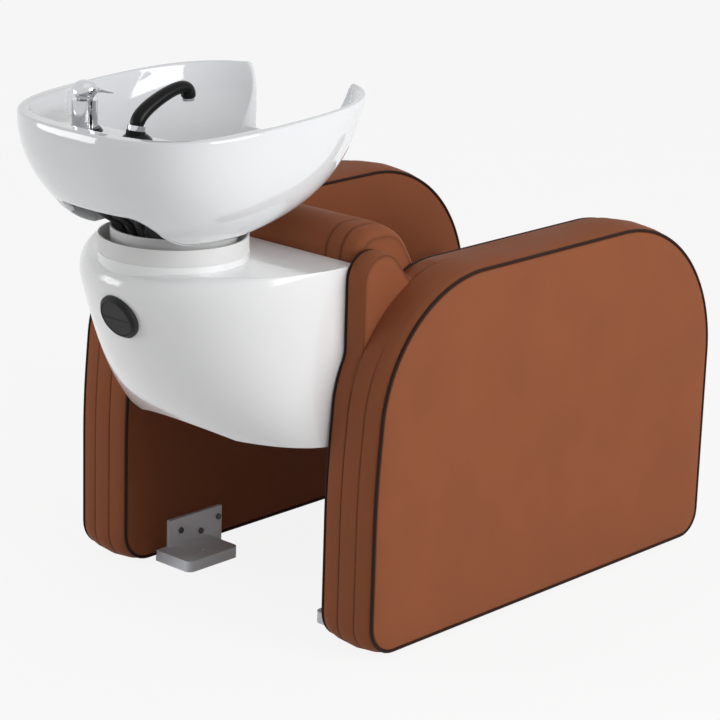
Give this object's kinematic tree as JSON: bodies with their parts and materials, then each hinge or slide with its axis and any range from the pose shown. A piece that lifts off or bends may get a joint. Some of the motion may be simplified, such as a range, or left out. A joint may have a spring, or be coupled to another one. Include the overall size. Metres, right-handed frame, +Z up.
{
  "type": "salon backwash unit",
  "caption": "Upholstered salon shampoo seat between solid arm panels, with a tilting ceramic basin, lever mixer and hand shower on a hanging pedestal shell.",
  "frame": {"origin": "on the floor, under the middle of the whole unit's length and width", "axes": "+Z up, +Y from the seat's front towards the basin, X across the seat"},
  "size_m": [0.7004, 1.2163, 0.9287],
  "materials": {
    "upholstery": "satin",
    "piping": "satin",
    "plywood": "matte",
    "frame_steel": "satin",
    "fasteners": "satin",
    "foot_paint": "satin",
    "glide_plastic": "matte",
    "shell_plastic": "gloss",
    "collar_plastic": "matte",
    "control_plastic": "matte",
    "sanitary_ceramic": "gloss",
    "chrome": "polished",
    "waste_plastic": "matte",
    "black_plastic": "gloss",
    "hose_rubber": "satin"
  },
  "bodies": {
    "frame": {"left_outer_pad": "upholstery", "right_outer_pad": "upholstery", "left_inner_pad": "upholstery", "right_inner_pad": "upholstery", "seat_cushion": "upholstery", "backrest_cushion": "upholstery", "left_outer_piping": "piping", "right_outer_piping": "piping", "left_inner_piping": "piping", "right_inner_piping": "piping", "left_panel_core": "plywood", "right_panel_core": "plywood", "seat_board": "plywood", "seat_cleats": "plywood", "backrest_board": "plywood", "backrest_cleats": "plywood", "front_crossbar": "frame_steel", "rear_crossbar": "frame_steel", "basin_support": "frame_steel", "hinge_bracket": "frame_steel", "frame_bolts": "fasteners", "pedestal_screws": "fasteners", "foot_screws": "fasteners", "hinge_pin": "fasteners", "left_foot": "foot_paint", "right_foot": "foot_paint", "front_glides": "glide_plastic", "pedestal_shell": "shell_plastic", "pedestal_collar": "collar_plastic", "control_bezel": "control_plastic", "switch_body": "control_plastic"},
    "basin": {"basin": "sanitary_ceramic", "tilt_ring": "collar_plastic", "tilt_leaf": "frame_steel", "leaf_bolts": "fasteners", "waste_flange": "chrome", "waste_grid": "chrome", "waste_tail": "waste_plastic", "waste_trap": "waste_plastic", "mixer_base_ring": "black_plastic", "mixer_body": "chrome", "mixer_nut": "waste_plastic", "hot_hose": "hose_rubber", "cold_hose": "hose_rubber", "shower_hose": "hose_rubber", "hose_nuts": "chrome", "shower_holder": "black_plastic", "holder_nut": "waste_plastic"},
    "mixer_stem": {"mixer_stem": "chrome"},
    "mixer_lever": {"mixer_lever": "chrome"},
    "shower_collar": {"swivel_collar": "chrome"},
    "hand_shower": {"hand_shower": "black_plastic", "shower_rose": "chrome"},
    "rocker": {"control_rocker": "control_plastic"}
  },
  "joints": [
    {"name": "basin_tilt", "type": "hinge", "parent": "frame", "child": "basin", "pos_m": [0, 0.31885, 0.662], "axis": [1, 0, 0], "range_deg": [-3, 12]},
    {"name": "mixer_swivel", "type": "hinge", "parent": "basin", "child": "mixer_stem", "pos_m": [0.046, 0.53585, 0.908], "axis": [0, 0, 1], "range_deg": [-45, 45]},
    {"name": "mixer_lift", "type": "hinge", "parent": "mixer_stem", "child": "mixer_lever", "pos_m": [0.046, 0.53585, 0.908], "axis": [-1, 0, 0], "range_deg": [0, 25]},
    {"name": "shower_swivel", "type": "hinge", "parent": "basin", "child": "shower_collar", "pos_m": [-0.052, 0.51885, 0.867], "axis": [0, -0.1736, 0.9848], "range_deg": [-40, 40]},
    {"name": "shower_lift", "type": "slide", "parent": "shower_collar", "child": "hand_shower", "axis": [0, -0.1736, 0.9848], "range_m": [0, 0.25]},
    {"name": "control_rock", "type": "hinge", "parent": "frame", "child": "rocker", "pos_m": [0, 0.50714, 0.55375], "axis": [1, 0, 0], "range_deg": [-3, 3], "stiffness_Nm_per_rad": 0.6}
  ]
}
